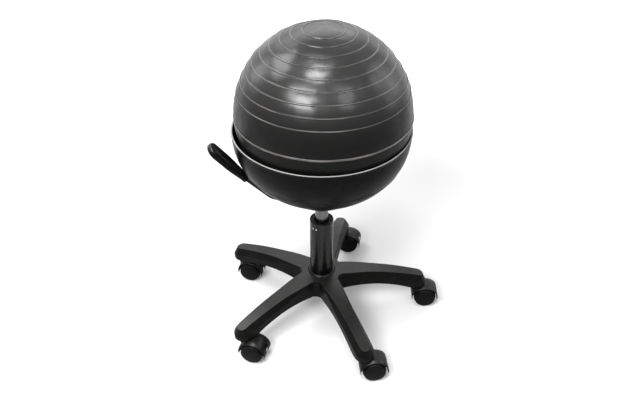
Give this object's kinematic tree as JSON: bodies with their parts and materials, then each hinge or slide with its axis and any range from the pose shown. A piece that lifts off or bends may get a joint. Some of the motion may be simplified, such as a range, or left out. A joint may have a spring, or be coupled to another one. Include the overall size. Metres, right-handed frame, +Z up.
{
  "type": "balance ball chair",
  "caption": "Task chair whose seat is an inflated ball in a round bowl, on a height-adjusting gas lift with a lever, a star base and twin-wheel casters.",
  "frame": {"origin": "on the floor, on the axis of the column", "axes": "+Z up along the column; the picture looks along +Y, with +X to its right; the lever points to -X"},
  "size_m": [0.4825, 0.4592, 0.683],
  "materials": {
    "vinyl": "satin, faintly mottled",
    "satin_plastic": "satin moulded",
    "nylon": "satin moulded",
    "tread": "satin moulded",
    "dark_chrome": "dark bright plating",
    "polished_steel": "ground and polished",
    "black_steel": "satin black coat",
    "zinc": "zinc plated",
    "pale_plug": "matte moulded"
  },
  "bodies": {
    "base": {"star_base": "nylon", "outer_tube": "dark_chrome", "guide_sleeve": "nylon", "thrust_bearing": "zinc"},
    "column": {"piston_rod": "polished_steel", "rod_clip": "zinc"},
    "seat": {"inner_cylinder": "polished_steel", "taper_socket": "black_steel", "mechanism_bracket": "black_steel", "seat_plate": "black_steel", "plate_bolt_1": "zinc", "plate_bolt_2": "zinc", "plate_bolt_3": "zinc", "plate_bolt_4": "zinc", "bowl": "satin_plastic", "bottom_cover": "satin_plastic", "cover_screw_1": "zinc", "cover_screw_2": "zinc", "cover_screw_3": "zinc", "cover_screw_4": "zinc", "lever_pin": "zinc", "pin_clip": "zinc"},
    "lever": {"lever_bar": "black_steel", "lever_grip": "satin_plastic", "lever_screw": "zinc"},
    "button": {"release_button": "zinc"},
    "ball": {"ball": "vinyl", "ball_plug": "pale_plug"},
    "caster_1": {"caster_1_body": "nylon", "caster_1_stem": "zinc", "caster_1_axle": "zinc"},
    "caster_1_wheel_left": {"caster_1_wheel_left": "tread"},
    "caster_1_wheel_right": {"caster_1_wheel_right": "tread"},
    "caster_2": {"caster_2_body": "nylon", "caster_2_stem": "zinc", "caster_2_axle": "zinc"},
    "caster_2_wheel_left": {"caster_2_wheel_left": "tread"},
    "caster_2_wheel_right": {"caster_2_wheel_right": "tread"},
    "caster_3": {"caster_3_body": "nylon", "caster_3_stem": "zinc", "caster_3_axle": "zinc"},
    "caster_3_wheel_left": {"caster_3_wheel_left": "tread"},
    "caster_3_wheel_right": {"caster_3_wheel_right": "tread"},
    "caster_4": {"caster_4_body": "nylon", "caster_4_stem": "zinc", "caster_4_axle": "zinc"},
    "caster_4_wheel_left": {"caster_4_wheel_left": "tread"},
    "caster_4_wheel_right": {"caster_4_wheel_right": "tread"},
    "caster_5": {"caster_5_body": "nylon", "caster_5_stem": "zinc", "caster_5_axle": "zinc"},
    "caster_5_wheel_left": {"caster_5_wheel_left": "tread"},
    "caster_5_wheel_right": {"caster_5_wheel_right": "tread"}
  },
  "joints": [
    {"name": "seat_swivel", "type": "hinge", "parent": "base", "child": "column", "pos_m": [0, 0, 0.2], "axis": [0, 0, 1], "continuous": true},
    {"name": "seat_height", "type": "slide", "parent": "column", "child": "seat", "axis": [0, 0, 1], "range_m": [-0.025, 0.085]},
    {"name": "lever_press", "type": "hinge", "parent": "seat", "child": "lever", "pos_m": [0.02663, 0.00865, 0.319], "axis": [0.309, -0.9511, 0], "range_deg": [0, 6], "stiffness_Nm_per_rad": 5, "springref_deg": -5.73},
    {"name": "button_press", "type": "slide", "parent": "seat", "child": "button", "axis": [0, 0, -1], "range_m": [0, 0.004]},
    {"name": "ball_lift", "type": "slide", "parent": "seat", "child": "ball", "axis": [0, 0, 1], "range_m": [0, 0.25]},
    {"name": "caster_1_swivel", "type": "hinge", "parent": "base", "child": "caster_1", "pos_m": [0.2169, 0.02089, 0.06], "axis": [0, 0, 1], "continuous": true},
    {"name": "caster_1_left_spin", "type": "hinge", "parent": "caster_1", "child": "caster_1_wheel_left", "pos_m": [0.23799, 0.02041, 0.025], "axis": [0.0227, 0.9997, 0], "continuous": true},
    {"name": "caster_1_right_spin", "type": "hinge", "parent": "caster_1", "child": "caster_1_wheel_right", "pos_m": [0.23799, 0.02041, 0.025], "axis": [0.0227, 0.9997, 0], "continuous": true},
    {"name": "caster_2_swivel", "type": "hinge", "parent": "base", "child": "caster_2", "pos_m": [0.04716, 0.21274, 0.06], "axis": [0, 0, 1], "continuous": true},
    {"name": "caster_2_left_spin", "type": "hinge", "parent": "caster_2", "child": "caster_2_wheel_left", "pos_m": [0.068, 0.20943, 0.025], "axis": [0.1564, 0.9877, 0], "continuous": true},
    {"name": "caster_2_right_spin", "type": "hinge", "parent": "caster_2", "child": "caster_2_wheel_right", "pos_m": [0.068, 0.20943, 0.025], "axis": [0.1564, 0.9877, 0], "continuous": true},
    {"name": "caster_3_swivel", "type": "hinge", "parent": "base", "child": "caster_3", "pos_m": [-0.18775, 0.11059, 0.06], "axis": [0, 0, 1], "continuous": true},
    {"name": "caster_3_left_spin", "type": "hinge", "parent": "caster_3", "child": "caster_3_wheel_left", "pos_m": [-0.16734, 0.10524, 0.025], "axis": [0.2538, 0.9673, 0], "continuous": true},
    {"name": "caster_3_right_spin", "type": "hinge", "parent": "caster_3", "child": "caster_3_wheel_right", "pos_m": [-0.16734, 0.10524, 0.025], "axis": [0.2538, 0.9673, 0], "continuous": true},
    {"name": "caster_4_swivel", "type": "hinge", "parent": "base", "child": "caster_4", "pos_m": [-0.1632, -0.14439, 0.06], "axis": [0, 0, 1], "continuous": true},
    {"name": "caster_4_left_spin", "type": "hinge", "parent": "caster_4", "child": "caster_4_wheel_left", "pos_m": [-0.14298, -0.15041, 0.025], "axis": [0.2857, 0.9583, 0], "continuous": true},
    {"name": "caster_4_right_spin", "type": "hinge", "parent": "caster_4", "child": "caster_4_wheel_right", "pos_m": [-0.14298, -0.15041, 0.025], "axis": [0.2857, 0.9583, 0], "continuous": true},
    {"name": "caster_5_swivel", "type": "hinge", "parent": "base", "child": "caster_5", "pos_m": [0.08689, -0.19983, 0.06], "axis": [0, 0, 1], "continuous": true},
    {"name": "caster_5_left_spin", "type": "hinge", "parent": "caster_5", "child": "caster_5_wheel_left", "pos_m": [0.10786, -0.19755, 0.025], "axis": [-0.108, 0.9942, 0], "continuous": true},
    {"name": "caster_5_right_spin", "type": "hinge", "parent": "caster_5", "child": "caster_5_wheel_right", "pos_m": [0.10786, -0.19755, 0.025], "axis": [-0.108, 0.9942, 0], "continuous": true}
  ],
  "couplings": [
    {"joint": "button_press", "follows": "lever_press", "m_per_rad": 0.032}
  ]
}
